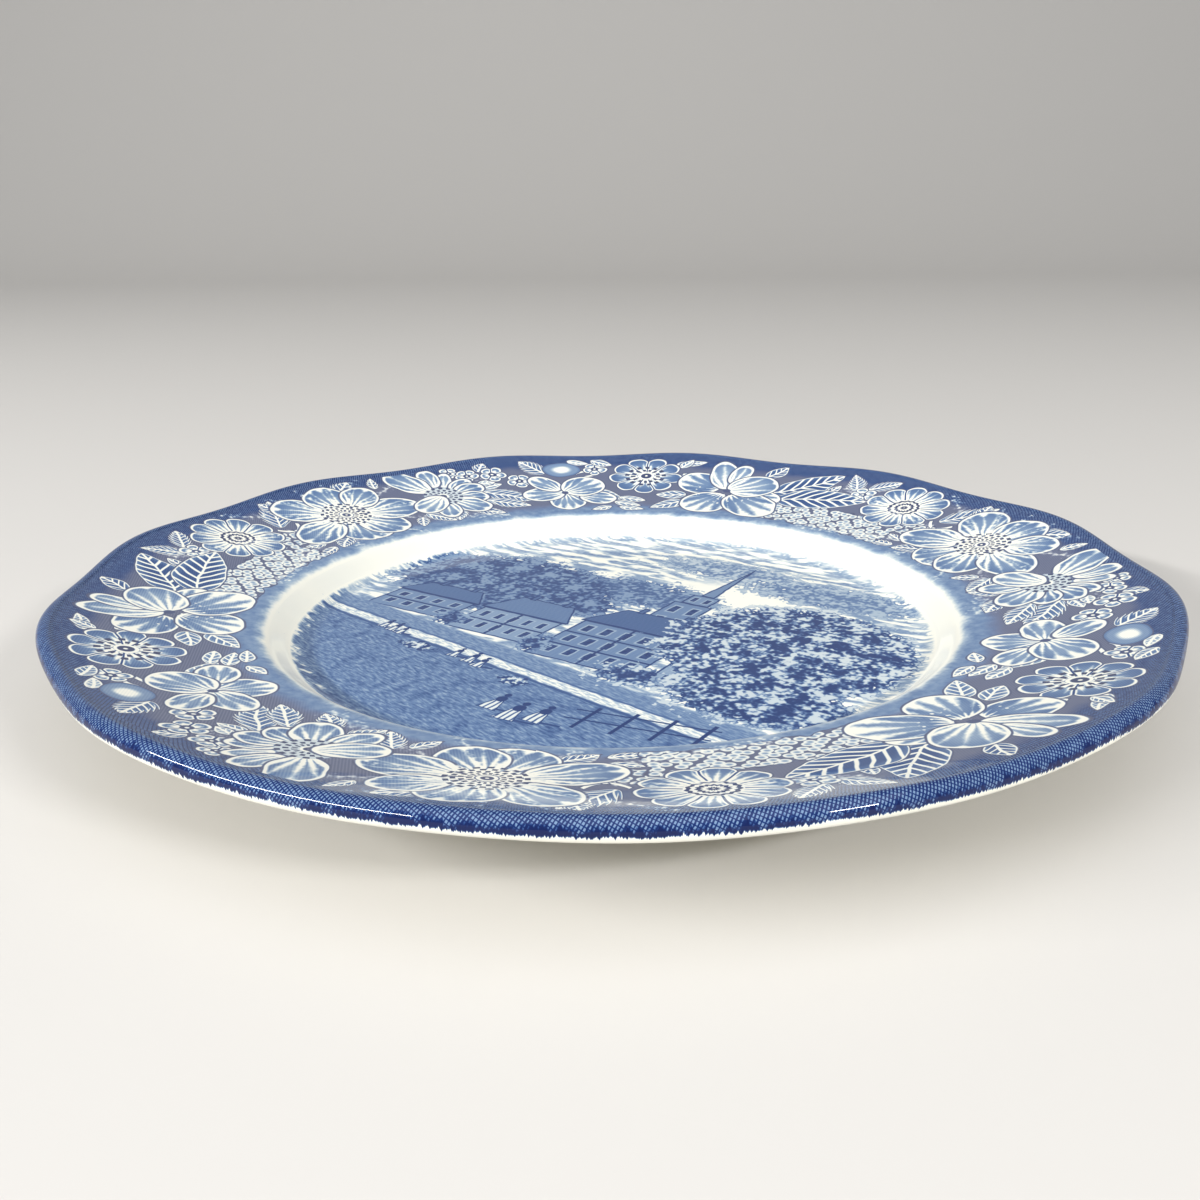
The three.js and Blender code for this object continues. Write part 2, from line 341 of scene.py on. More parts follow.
class Sheet:
    """A node tree, with a short call for each kind of node."""

    def __init__(self, tree):
        self.tree = tree
        self.tree.nodes.clear()
        self.count = 0

    def node(self, kind, given=None, **settings):
        """A new node, with its settings and what is given to its inputs, by name or place."""
        node = self.tree.nodes.new(kind)
        node.location = (200 * (self.count % 40), -220 * (self.count // 40))
        self.count += 1
        for key, value in settings.items():
            setattr(node, key, value)
        for key, value in (given or {}).items():
            self.feed(node.inputs[key], value)
        return node

    def value(self, kind, given, output=0, **settings):
        """What a new node puts out."""
        return Value(self, self.node(kind, given, **settings).outputs[output])

    def feed(self, socket, value):
        if isinstance(value, Value):
            self.tree.links.new(value.socket, socket)
        else:
            socket.default_value = value

    def math(self, operation, *inputs):
        return self.value("ShaderNodeMath", dict(enumerate(inputs)), operation=operation)

    def vector(self, operation, *inputs, output=0):
        given = dict(enumerate(inputs))
        return self.value("ShaderNodeVectorMath", given, output, operation=operation)

    def scaled(self, value, by, plus):
        return self.math("MULTIPLY_ADD", value, by, plus)

    def wave(self, value):
        """A triangle wave: 0 at whole numbers and 1 half way between them."""
        return self.math("PINGPONG", value * 2, 1.0)

    def least(self, first, *others):
        for other in others:
            first = self.math("MINIMUM", first, other)
        return first

    def most(self, first, *others):
        for other in others:
            first = self.math("MAXIMUM", first, other)
        return first

    def step(self, value, low, high, start=0.0, end=1.0):
        """Goes smoothly from start to end as the value goes from low to high."""
        given = dict(enumerate((value, low, high, start, end)))
        return self.value("ShaderNodeMapRange", given, interpolation_type="SMOOTHSTEP", clamp=False)

    def ramp(self, value, low, high, start=0.0, end=1.0):
        """Goes evenly from start to end as the value goes from low to high."""
        slope = (end - start) / (high - low)
        line = self.scaled(value, slope, start - low * slope)
        return self.most(self.least(line, max(start, end)), min(start, end))

    def mix(self, share, first, second):
        return self.value("ShaderNodeMix", {0: share, 2: first, 3: second}, data_type="FLOAT")

    def mix_colour(self, share, first, second):
        return self.value("ShaderNodeMix", {0: share, 6: first, 7: second}, 2, data_type="RGBA")

    def print_at(self):
        return self.value("ShaderNodeAttribute", {}, "Vector", attribute_name="print_at")

    def local(self, point, location=(0, 0), turn=0.0, scale=(1, 1)):
        """The point as seen from a motif's own origin, axes and size."""
        given = {"Vector": point, "Location": (*location, 0), "Rotation": (0, 0, turn), "Scale": (*scale, 1)}
        return self.value("ShaderNodeMapping", given, vector_type="TEXTURE")

    def along(self, point, axis):
        """How far the point lies along an axis."""
        return self.vector("DOT_PRODUCT", point, axis, output="Value")

    def split(self, point):
        return self.along(point, (1, 0, 0)), self.along(point, (0, 1, 0))

    def polar(self, point):
        x, y = self.split(point)
        return self.length(point), self.math("ARCTAN2", y, x)

    def join(self, x, y, z=0.0):
        return self.value("ShaderNodeCombineXYZ", {0: x, 1: y, 2: z})

    def length(self, point):
        return self.vector("LENGTH", point, output="Value")

    def noise(self, point, size, detail=2.0, roughness=0.5, colour=False):
        """Smooth noise about 0.5, whose lumps are about size millimetres across."""
        given = {"Vector": point, "Scale": 1 / size, "Detail": detail, "Roughness": roughness}
        return self.value("ShaderNodeTexNoise", given, "Color" if colour else 0)

    def cells(self, point, size, spread=1.0, dimensions="3D"):
        """Distance from the middle of the nearest cell, as a share of size."""
        given = {"Vector": point, "Scale": 1 / size, "Randomness": spread}
        return self.value("ShaderNodeTexVoronoi", given, "Distance", voronoi_dimensions=dimensions)

    def bump(self, height, strength, distance):
        return self.value("ShaderNodeBump", {"Height": height, "Strength": strength, "Distance": distance})

    def surface(self):
        """A Principled shader, joined to the material's output."""
        shader = self.node("ShaderNodeBsdfPrincipled")
        output = self.node("ShaderNodeOutputMaterial")
        self.tree.links.new(shader.outputs[0], output.inputs[0])
        return shader

    def warped(self, point, size, reach):
        """The point pushed about by noise, so that drawn lines waver as a hand's do."""
        noise = self.noise(point, size, 1.0, colour=True)
        middle = self.vector("ADD", point, (-reach / 2, -reach / 2, 0))
        return self.vector("MULTIPLY_ADD", noise, (reach, reach, 0), middle)


# ---- Glaze and ink ----
CREAM = (0.87, 0.855, 0.755)
COBALT = (4.5, 3.3, 1.75)  # how fast the ink darkens red, green and blue
VIOLET_GREY = (1.95, 1.8, 1.25)
MOST_INK = 1.8
RAMP_STOPS = 13


def inked(depth, strengths):
    return [c * math.exp(-depth * k) for c, k in zip(CREAM, strengths)] + [1.0]


def ink_ramp(sheet, ink, strengths):
    """The colour of a depth of ink over the cream body."""
    node = sheet.node("ShaderNodeValToRGB", {0: ink * (1 / MOST_INK)})
    stops = node.color_ramp.elements
    for i in range(RAMP_STOPS):
        position = (i / (RAMP_STOPS - 1)) ** 1.6
        stop = stops[i] if i < 2 else stops.new(position)
        stop.position = position
        stop.color = inked(position * MOST_INK, strengths)
    return Value(sheet, node.outputs[0])


def glazed(art):
    """Ends a print as earthenware under clear glaze, with the glaze's slow ripple."""
    shader = art.surface()
    art.feed(shader.inputs["Base Color"], art.colour())
    ripple = art.bump(art.noise(art.raw, 9.0, 3.0, 0.35), 0.35, 0.00012)
    for socket in ("Normal", "Coat Normal"):
        art.feed(shader.inputs[socket], ripple)
    patchy = art.noise(art.raw, 3.0, 2.0)
    art.feed(shader.inputs["Roughness"], art.ramp(patchy, 0.3, 0.7, 0.3, 0.4))
    shader.inputs["IOR"].default_value = 1.5
    shader.inputs["Specular IOR Level"].default_value = 0.0
    shader.inputs["Coat Weight"].default_value = 0.68
    shader.inputs["Coat Roughness"].default_value = 0.045
    shader.inputs["Coat IOR"].default_value = 1.52
    return art.material


# ---- Drawing the print ----
OUTLINE_INK = 1.2


def new_material(name):
    material = bpy.data.materials.new(name)
    material.use_nodes = True
    return material


class Print(Sheet):
    """A material that is drawn motif by motif, as depth of ink and how grey the ink is."""

    def __init__(self, name):
        self.material = new_material(name)
        super().__init__(self.material.node_tree)
        self.raw = self.print_at()
        self.ink = 0.0
        self.grey = 0.0

    def mark(self, share, ink, grey=0.0):
        """Puts ink over what is drawn, where the share is 1."""
        self.ink = self.mix(share, self.ink, ink)
        self.grey = self.mix(share, self.grey, grey)

    def lay(self, distance, ink, outline=0.5, soft=0.14):
        """Lays a motif over what is drawn, with a dark line round it. The distance is into it."""
        if outline:
            self.mark(self.step(distance, -outline, -outline * 0.3), OUTLINE_INK, 0.9)
        self.mark(self.step(distance, -soft, soft), ink)

    def colour(self):
        blue = ink_ramp(self, self.ink, COBALT)
        grey = ink_ramp(self, self.ink, VIOLET_GREY)
        return self.mix_colour(self.grey, blue, grey)


class Motif(Print):
    """One motif of the border, drawn in a node group. It is placed by azimuth and radius."""

    GIVEN = (("raw", "Vector"), ("point", "Vector"), ("jitter", "Float"), ("hatch", "Float"),
             ("radius", "Float"), ("azimuth", "Float"), ("ink", "Float"), ("grey", "Float"))
    DRAWN = ("ink", "grey")

    def __init__(self, name):
        tree = bpy.data.node_groups.new(name, "ShaderNodeTree")
        Sheet.__init__(self, tree)
        for given, kind in self.GIVEN:
            tree.interface.new_socket(given, in_out="INPUT", socket_type="NodeSocket" + kind)
        for drawn in self.DRAWN:
            tree.interface.new_socket(drawn, in_out="OUTPUT", socket_type="NodeSocketFloat")
        entry = self.node("NodeGroupInput")
        for given, _ in self.GIVEN:
            setattr(self, given, Value(self, entry.outputs[given]))

    def close(self):
        leave = self.node("NodeGroupOutput")
        for drawn in self.DRAWN:
            self.feed(leave.inputs[drawn], getattr(self, drawn))
        return self.tree

    def place(self, azimuth, radius, turn=0.0):
        """A motif's own frame: x away from the plate's axis, then turned."""
        a = math.radians(azimuth)
        spot = (radius * math.cos(a), radius * math.sin(a))
        return self.local(self.point, spot, a + math.radians(turn))

    def petal(self, frame, turn, reach, length, width, rays=7.0, tone=0.38, ray_end=0.75, tips=0.35):
        """A long round petal with white rays from its foot and its tip, in a white outline."""
        a = math.radians(turn)
        unit = self.local(frame, (reach * math.cos(a), reach * math.sin(a)), a, (length, width))
        q = self.length(unit)
        distance = self.scaled(q, -width, width)
        along, side = self.split(unit)
        from_foot = self.scaled(along, length, length + 2.0)
        fan = self.math("ARCTAN2", side * width, from_foot)
        ray = self.wave(self.scaled(fan, rays, 0.5))
        run = self.scaled(along, 0.5, 0.5)
        ray = self.scaled(self.jitter, 0.7, ray - 0.35)
        foot = self.step(self.scaled(run, -1 / ray_end, ray), -0.45, 0.35)
        tip = self.step(self.scaled(run, 1 / tips, ray - 1 / tips), -0.5, 0.35)
        body = self.scaled(self.hatch, 0.1, tone - 0.05)
        body = self.scaled(self.step(q, 0.2, 0.95), 0.14, body)
        ink = body * (1 - self.most(foot, tip))
        ink = ink * self.step(distance, 0.5, 1.0)
        self.lay(distance, ink)

    def round_flower(self, frame, size, petals, core, rays=3, lobe=0.2, tone=0.4, ray_end=0.8):
        """A flower of even petals round its centre, each outlined in white."""
        rho, angle = self.polar(frame)
        part = self.wave(angle * (petals / TAU))
        notch = self.math("POWER", 1 - part, 2.5)
        distance = self.scaled(notch, -lobe * size, size) - rho
        seam = part * rho * (math.pi / petals)
        ray = self.wave(angle * (petals * rays / TAU)) + self.jitter * 0.7 - 0.35
        run = self.ramp(rho, core, size)
        foot = self.step(self.scaled(run, -1 / ray_end, ray), -0.45, 0.35)
        body = self.scaled(self.hatch, 0.1, tone - 0.05)
        body = self.scaled(self.step(run, 0.2, 0.9), 0.16, body)
        ink = body * (1 - foot)
        ink = ink * self.step(self.least(distance, seam * 1.2), 0.45, 0.9)
        ink = self.mix(self.step(seam, 0.1, 0.28), OUTLINE_INK * 0.7, ink)
        self.lay(distance, ink)
        return rho, angle

    def dashes(self, rho, angle, inner, outer, rows, spokes, ink=1.3):
        """Rings of short dark strokes, the stamens of a flower."""
        row = (rho - inner) * (rows / (outer - inner))
        ring = self.wave(row)
        spoke = self.wave(self.scaled(angle, spokes / TAU, self.math("FLOOR", row) * 0.5))
        stroke = self.step(ring, 0.2, 0.45) * self.step(spoke, 0.42, 0.6)
        zone = self.step(rho, inner - 0.1, inner + 0.1) * self.step(rho, outer + 0.1, outer - 0.1)
        self.mark(stroke * zone, ink, 0.7)

    def eye(self, rho, size):
        """A white button ringed with dark lines."""
        ink = self.step(self.wave(rho * (1 / 1.5)), 0.35, 0.65, 0.0, 1.1)
        self.mark(self.step(rho, size, size - 0.3), ink, 0.6)

    def leaf(self, azimuth, radius, tip, width, pitch=1.6, teeth=0.0, bend=0.0, tone=0.5, lean=1.1, rib=0.6):
        """A leaf from its stalk to its tip (azimuth, radius), with a white midrib and white ribs."""
        a = math.radians(tip[0] - azimuth)
        run = tip[1] * math.cos(a) - radius
        side = tip[1] * math.sin(a)
        length = math.hypot(run, side)
        x, y = self.split(self.place(azimuth, radius, math.degrees(math.atan2(side, run))))
        t = self.ramp(x, 0.0, length)
        hump = self.math("SINE", self.math("POWER", t, 0.8) * math.pi)
        hump = self.math("POWER", abs(hump), 0.75)
        side = abs(y - hump * bend) if bend else abs(y)
        half = hump * width
        across = self.scaled(side, -lean, x) * (1 / pitch)
        if teeth:
            half = half * self.ramp(self.math("FRACT", across), 0, 1, 1 - teeth, 1.0)
        distance = self.least(half - side, x + 0.2, length + 0.2 - x)
        line = self.step(self.wave(across), rib, rib + 0.25)
        body = self.scaled(self.hatch, 0.1, tone - 0.05)
        body = body + self.step(distance, width * 0.5, 0.2, 0.12, -0.1)
        ink = body * (1 - line)
        ink = ink * self.step(side, 0.2, 0.45) * self.step(distance, 0.2, 0.55)
        self.lay(distance, ink, 0.42)

    def bud(self, azimuth, radius, turn, length, width):
        unit = self.local(self.place(azimuth, radius, turn), (0, 0), 0.0, (length, width))
        q = self.length(unit)
        ink = self.step(q, 0.3, 0.66, 0.0, 0.36)
        ink = self.step(q, 0.8, 1.0, 0.0, 0.12) + ink + (self.hatch - 0.5) * 0.06
        self.lay(self.scaled(q, -width, width), ink, 0.3)

    def stalk(self, azimuth, radius, turn, reach, bend, width=0.42):
        """A thin white curved stroke."""
        x, y = self.split(self.place(azimuth, radius, turn))
        t = self.ramp(x, 0.0, reach)
        side = abs(y - t * (1 - t) * (4 * bend))
        distance = self.least(width - side, x, reach - x)
        self.lay(distance, 0.0, 0.4)

    def berries(self, start, end, inner, outer, size):
        """A bank of small round berries between two azimuths and two radii."""
        middle = math.radians((start + end) / 2)
        half = math.radians((end - start) / 2)
        side = (half - abs(self.azimuth - middle)) * ((inner + outer) / 2)
        edge = self.least((outer - inner) / 2 - abs(self.radius - (inner + outer) / 2), side)
        edge = self.scaled(self.noise(self.raw, 4.0, 1.0), 4.5, edge - 1.5)
        spot = self.cells(self.raw, size, 0.6, "2D")
        gap = self.step(spot, 0.46, 0.56)
        ink = self.step(spot, 0.1, 0.36, 0.3, 0.03)
        self.lay(edge, self.mix(gap, ink, 1.0), 0.5)
        bank = self.step(edge, -0.14, 0.14)
        self.grey = self.mix(gap * bank, self.grey, 0.8)

    def blossom(self, azimuth, radius, size, petals=5):
        frame = self.place(azimuth, radius)
        rho, angle = self.round_flower(frame, size, petals, size * 0.3, 1, 0.3, 0.36, 0.5)
        self.mark(self.step(rho, size * 0.32, size * 0.24), 1.1, 0.5)
        self.mark(self.step(rho, size * 0.14, size * 0.07), 0.0)

    def anemone(self, azimuth, radius):
        frame = self.place(azimuth, radius)
        for turn, reach, length, width in (
                (172, 10.5, 7.8, 8.4), (-150, 11.5, 7.8, 6.8), (55, 13.0, 8.2, 6.6),
                (-101, 15.0, 9.0, 6.8), (-8, 10.0, 7.2, 7.6), (116, 15.0, 9.0, 6.4),
                (-55, 12.8, 6.8, 5.6)):
            self.petal(frame, turn, reach, length, width, 4.5, 0.38, 0.7, 0.2)
        rho, angle = self.polar(frame)
        glow = self.wave(angle * (13 / TAU)) + self.jitter * 1.2 - 0.6
        white = self.step(glow - self.ramp(rho, 4.0, 11.5), -0.25, 0.3)
        self.ink = self.ink * (1 - white)
        self.dashes(rho, angle, 2.2, 7.4, 4, 17)
        self.eye(rho, 2.2)

    def heart_flower(self, azimuth, radius):
        frame = self.place(azimuth, radius)
        for turn, reach, length, width, tone in (
                (-24, 10.6, 4.6, 2.5, 0.3), (0, 11.8, 5.4, 3.5, 0.34), (35, 13.2, 8.4, 5.0, 0.36),
                (-57, 9.6, 5.0, 3.3, 0.4), (-78, 9.4, 5.4, 3.9, 0.42), (-110, 9.0, 5.2, 3.9, 0.42),
                (-144, 9.8, 6.6, 4.8, 0.34), (168, 9.4, 6.0, 3.6, 0.34)):
            self.petal(frame, turn, reach, length, width, 4.0, tone, 0.75, 0.2)
        rho, angle = self.polar(frame)
        self.mark(self.step(rho, 6.4, 5.6), 0.1)
        self.dashes(rho, angle, 1.8, 6.2, 3, 15)
        self.eye(rho, 1.8)
        self.petal(frame, 128, 7.0, 6.8, 4.6, 4, 0.3, 0.9, 0.3)

    def peony(self, azimuth, radius):
        frame = self.place(azimuth, radius)
        for turn, reach, length, width, tone, foot, tips in (
                (-104, 12.6, 5.6, 4.6, 0.36, 0.2, 0.5), (69, 10.0, 7.4, 6.8, 0.4, 0.2, 0.5),
                (156, 10.2, 7.8, 7.0, 0.36, 0.2, 0.62), (-133, 12.8, 9.6, 7.4, 0.36, 0.2, 0.62),
                (17, 10.2, 9.0, 4.6, 0.3, 0.8, 0.12), (-9, 11.4, 6.0, 3.4, 0.3, 0.8, 0.12),
                (-62, 8.6, 8.0, 6.8, 0.3, 0.75, 0.1)):
            self.petal(frame, turn, reach, length, width, 3.6, tone, foot, tips)
        rho = self.length(frame)
        spot = self.cells(frame, 1.5)
        dots = self.step(spot, 0.28, 0.18) * self.step(rho, 10.5, 9.0)
        dots = dots * self.step(self.along(frame, (1, -0.25, 0)), 1.5, -0.5)
        self.mark(dots, 0.02)
        self.mark(self.step(rho, 1.5, 1.0), 1.0, 0.5)

    def pansy(self, azimuth, radius):
        frame = self.place(azimuth, radius)
        for turn, reach, length, width in (
                (180, 6.6, 5.8, 5.6), (-116, 11.0, 5.6, 4.4), (97, 6.6, 6.4, 4.8),
                (41, 8.6, 6.2, 4.0), (-57, 7.2, 7.0, 6.6)):
            self.petal(frame, turn, reach, length, width, 4.0, 0.34, 0.5, 0.42)
        self.mark(self.step(self.length(frame), 1.3, 0.9), 1.0, 0.5)

    def rosette(self, azimuth, radius):
        frame = self.place(azimuth, radius)
        rho, angle = self.round_flower(frame, 11.6, 9, 4.0, 2, 0.2, 0.4, 0.5)
        self.dashes(rho, angle, 3.0, 6.8, 2, 13)
        square = self.step(self.wave(rho * (1 / 2.2)), 0.3, 0.6, 0.0, 1.2)
        self.mark(self.step(rho, 2.8, 2.5), square, 0.5)

    def daisy(self, azimuth, radius):
        frame = self.place(azimuth, radius)
        rho, angle = self.round_flower(frame, 12.6, 10, 4.6, 3, 0.16, 0.38, 0.75)
        wavy = self.scaled(self.wave(angle * (15 / TAU)), 0.5, rho)
        rings = self.step(self.wave(wavy * (1 / 1.7)), 0.4, 0.65, 0.0, 1.25)
        self.mark(self.step(rho, 5.0, 4.7), rings, 0.6)


class Border(Print):
    """The floral border of one sector: its ground, and the motifs that reach into it."""

    drawn = {}

    def __init__(self, name):
        super().__init__(name)
        self.point = self.warped(self.raw, 7.0, 1.5)
        self.jitter = self.noise(self.raw, 1.3, 1.0)
        self.radius, self.azimuth = self.polar(self.raw)
        self.hatch = self.wave(self.along(self.raw, (0.62, 1.71, 0)))

    def ground(self):
        """Violet-grey hatching that turns into a soft blue halo inside and denim outside."""
        soft = self.radius + self.noise(self.raw, 6.0, 1.0) * 4.0 - 2.0
        inner = self.step(soft, 85.0, 90.5)
        outer = self.step(soft, 113.0, 117.5)
        fade = self.step(self.scaled(self.jitter, 2.0, soft), 80.2, 84.4)
        wash = self.scaled(self.noise(self.raw, 2.2, 2.0), 0.3, 0.26)
        middle = self.scaled(self.hatch, 0.24, 0.84)
        ink = self.mix(inner, wash, middle) * fade
        ink = self.mix(outer, ink, denim(self, self.azimuth * LIP_RADIUS, self.radius))
        self.ink = ink * self.step(self.radius, BORDER_INNER + 0.3, BORDER_INNER + 2.0)
        self.grey = inner * self.mix(outer, 0.85, 0.05)

    def add(self, kind, azimuth, radius, extra):
        """Adds a motif, as a node group that is drawn once for each place."""
        key = (kind, azimuth, radius, extra.get("turn"))
        if key not in self.drawn:
            motif = Motif("%s_%d_%d" % (kind, azimuth * 10, radius * 10))
            if kind == "berries":
                motif.berries(**extra)
            else:
                getattr(motif, kind)(azimuth, radius, **extra)
            self.drawn[key] = motif.close()
        given = {name: getattr(self, name) for name, _ in Motif.GIVEN}
        node = self.node("ShaderNodeGroup", given, node_tree=self.drawn[key])
        self.ink = Value(self, node.outputs["ink"])
        self.grey = Value(self, node.outputs["grey"])


WEAVE_COUNTS = (396, 198)  # waves of each set of threads in one border length
WEAVE_LEANS = (0.85, -1.25)  # how many waves they lean over in a millimetre outwards


def denim(sheet, around, radius):
    """The weave of light dashes on cobalt, paler inwards. It repeats with each border length."""
    length = TAU * LIP_RADIUS / BORDER_LENGTHS
    one, two = (sheet.wave(sheet.scaled(radius, lean, around * (count / length)))
                for count, lean in zip(WEAVE_COUNTS, WEAVE_LEANS))
    worn = sheet.noise(sheet.raw, 1.3, 2.0)
    dash = sheet.step(sheet.scaled(worn, 1.2, one), 0.9, 1.25) * sheet.step(two, 0.08, 0.45)
    dark = sheet.ramp(radius, 115.0, 121.0, 0.92, 1.15)
    light = sheet.ramp(radius, 116.0, 123.0, 0.62, 0.4)
    return sheet.mix(dash, dark, light)


def leaf(azimuth, radius, reach, tip_azimuth, tip_radius, width, **more):
    """A row of the table below."""
    return "leaf", azimuth, radius, reach, dict(tip=(tip_azimuth, tip_radius), width=width, **more)


def stalk(azimuth, radius, reach, turn, length, bend, width):
    """A row of the table below."""
    return "stalk", azimuth, radius, reach, dict(turn=turn, reach=length, bend=bend, width=width)


# Each motif of a border length: its drawer, azimuth in degrees, radius, how far it reaches, for
# the test of which sectors it is in, and what else its drawer needs. From back to front.
MOTIFS = (
    leaf(29.9, 105.6, 18, 25.6, 119.2, 4.6, pitch=2.2, teeth=0.35),
    leaf(23.3, 91.0, 12, 28.2, 85.4, 3.0, teeth=0.3),
    leaf(29.0, 87.2, 12, 34.0, 85.6, 1.9, teeth=0.3),
    leaf(29.2, 90.6, 12, 33.4, 92.2, 1.9, teeth=0.3),
    ("berries", 32.0, 97.8, 6, dict(start=30.0, end=34.4, inner=94.5, outer=101.5, size=2.2)),
    stalk(29.1, 101.8, 6, -55, 5.2, -0.6, 0.5),
    stalk(29.1, 101.8, 6, 52, 5.0, 0.6, 0.5),
    stalk(29.1, 102.4, 6, 186, 4.4, 0.3, 0.5),
    leaf(47.6, 110.6, 12, 50.8, 119.8, 3.0, teeth=0.35),
    leaf(46.6, 113.2, 12, 42.9, 119.8, 3.0, teeth=0.35),
    leaf(52.2, 106.6, 8, 51.0, 112.4, 1.8),
    ("berries", 46.0, 91.0, 24, dict(start=33.6, end=59.4, inner=85.8, outer=97.2, size=2.4)),
    ("blossom", 46.4, 109.7, 6, dict(size=4.0)),
    leaf(60.9, 103.6, 24, 52.2, 118.2, 5.8, pitch=3.4, bend=-1.0, tone=0.62, rib=0.56),
    leaf(59.8, 98.6, 29, 44.8, 106.0, 6.2, pitch=3.6, bend=1.4, tone=0.62, rib=0.56),
    leaf(63.8, 112.3, 11, 61.5, 120.0, 2.8, pitch=2.2, tone=0.56),
    leaf(75.7, 96.6, 11, 81.2, 96.0, 2.9, pitch=2.4, tone=0.36),
    leaf(75.6, 92.2, 12, 81.6, 86.2, 3.0, pitch=2.4, tone=0.36),
    leaf(78.9, 116.2, 9, 74.3, 118.8, 1.9, tone=0.36),
    leaf(78.2, 114.0, 9, 76.5, 119.8, 1.6, tone=0.36),
    leaf(77.6, 110.6, 8, 75.0, 106.0, 1.6, tone=0.36),
    stalk(92.4, 103.4, 9, 176, 7.6, -0.5, 0.55),
    leaf(92.9, 99.6, 13, 87.2, 91.8, 2.7, pitch=2.6, tone=0.3),
    leaf(88.0, 93.6, 9, 82.9, 91.4, 1.9, pitch=2.0, tone=0.3),
    leaf(88.8, 90.2, 9, 83.8, 87.6, 1.9, pitch=2.0, tone=0.3),
    leaf(89.4, 86.6, 8, 93.4, 84.6, 1.6, pitch=2.0, tone=0.3),
    leaf(88.0, 86.4, 9, 82.9, 84.6, 1.7, pitch=2.0, tone=0.3),
    stalk(95.4, 110.6, 6, -78, 5.6, 1.0, 0.5),
    stalk(94.8, 107.2, 6, -60, 5.0, 0.6, 0.5),
    ("blossom", 92.2, 113.8, 5, dict(size=4.0)),
    leaf(96.6, 119.0, 8, 93.2, 117.6, 1.6, tone=0.14),
    leaf(92.8, 119.6, 9, 89.6, 115.8, 2.0, tone=0.36),
    leaf(100.6, 111.8, 12, 104.2, 119.8, 3.8, pitch=2.0, teeth=0.35),
    leaf(112.4, 103.0, 19, 103.8, 93.6, 4.2, pitch=2.2, teeth=0.3, tone=0.44),
    leaf(112.6, 96.4, 15, 105.2, 90.0, 3.4, pitch=2.2, teeth=0.3, tone=0.44),
    leaf(116.6, 91.6, 12, 111.0, 86.2, 2.8, teeth=0.3),
    leaf(119.0, 92.6, 11, 121.0, 85.2, 2.7, teeth=0.3),
    leaf(125.4, 93.4, 12, 121.6, 85.4, 3.2, teeth=0.3),
    leaf(111.2, 115.4, 10, 109.8, 120.0, 2.6, teeth=0.35),
    leaf(112.0, 105.2, 7, 108.6, 106.6, 1.9, tone=0.3),
    leaf(112.2, 108.4, 7, 109.4, 108.0, 1.6, tone=0.3),
    leaf(135.8, 113.2, 13, 131.8, 119.8, 3.8, pitch=2.0, teeth=0.35),
    leaf(128.8, 113.6, 9, 128.0, 119.8, 1.8, teeth=0.3),
    leaf(146.2, 112.6, 12, 147.4, 119.6, 3.0, teeth=0.35),
    leaf(126.8, 91.0, 9, 129.0, 85.4, 2.2, teeth=0.3),
    ("blossom", 115.8, 116.6, 5, dict(size=3.3)),
    ("blossom", 113.2, 113.8, 5, dict(size=3.8)),
    ("blossom", 109.0, 113.0, 5, dict(size=4.4)),
    ("blossom", 105.2, 107.4, 5, dict(size=4.4)),
    ("rosette", 83.7, 108.6, 13, {}),
    ("daisy", 38.1, 107.6, 14, {}),
    ("anemone", 138.1, 102.4, 25, {}),
    ("heart_flower", 119.5, 102.8, 23, {}),
    ("peony", 69.0, 101.2, 23, {}),
    ("pansy", 98.0, 97.8, 17, {}),
    ("bud", 97.7, 113.6, 8, dict(turn=90, length=6.0, width=4.6)),
)
LENGTH_DEG = 360 / BORDER_LENGTHS


def shifted(extra, shift):
    """What a drawer needs, when the motif is moved on round the plate."""
    moved = dict(extra)
    if "tip" in moved:
        moved["tip"] = (moved["tip"][0] + shift, moved["tip"][1])
    for key in ("start", "end"):
        if key in moved:
            moved[key] += shift
    return moved


def draw_border(number):
    """The border's material for one sector of a length, with the motifs that reach into it."""
    art = Border("border_print_" + "abcd"[number])
    art.ground()
    centre = BORDER_FROM + SECTOR * (number + 0.5)
    for kind, azimuth, radius, reach, extra in MOTIFS:
        for shift in (-LENGTH_DEG, 0, LENGTH_DEG):
            gap = abs(azimuth + shift - centre)
            if gap <= SECTOR / 2 + math.degrees(reach / radius) + 1:
                art.add(kind, azimuth + shift, radius, shifted(extra, shift))
    return glazed(art)


def draw_edge_band():
    """The weave goes on from the border to the lip, where it ends raggedly in deep cobalt."""
    art = Print("edge_band_print")
    around, out = art.split(art.raw)
    weave = denim(art, around, out + BORDER_OUTER)
    streak = art.noise(art.join(around, out * 0.25), 0.6, 2.0)
    patch = art.noise(art.join(around, 4.0), 4.5, 2.5)
    deep = art.step(art.scaled(patch, 6.0, art.scaled(streak, 4.0, out - 3.0)), 7.0, 8.2)
    art.ink = art.mix(deep, weave, 1.35)
    fringe = art.noise(art.join(around, 0.0), 0.55, 2.0) * 2.6
    fringe = fringe + art.noise(art.join(around, 9.0), 7.0, 1.0) * 1.2
    art.ink = art.ink * art.step(out - fringe, 4.9, 4.5)
    art.grey = art.step(out, 0.0, 2.0, 0.05, 0.0)
    return glazed(art)


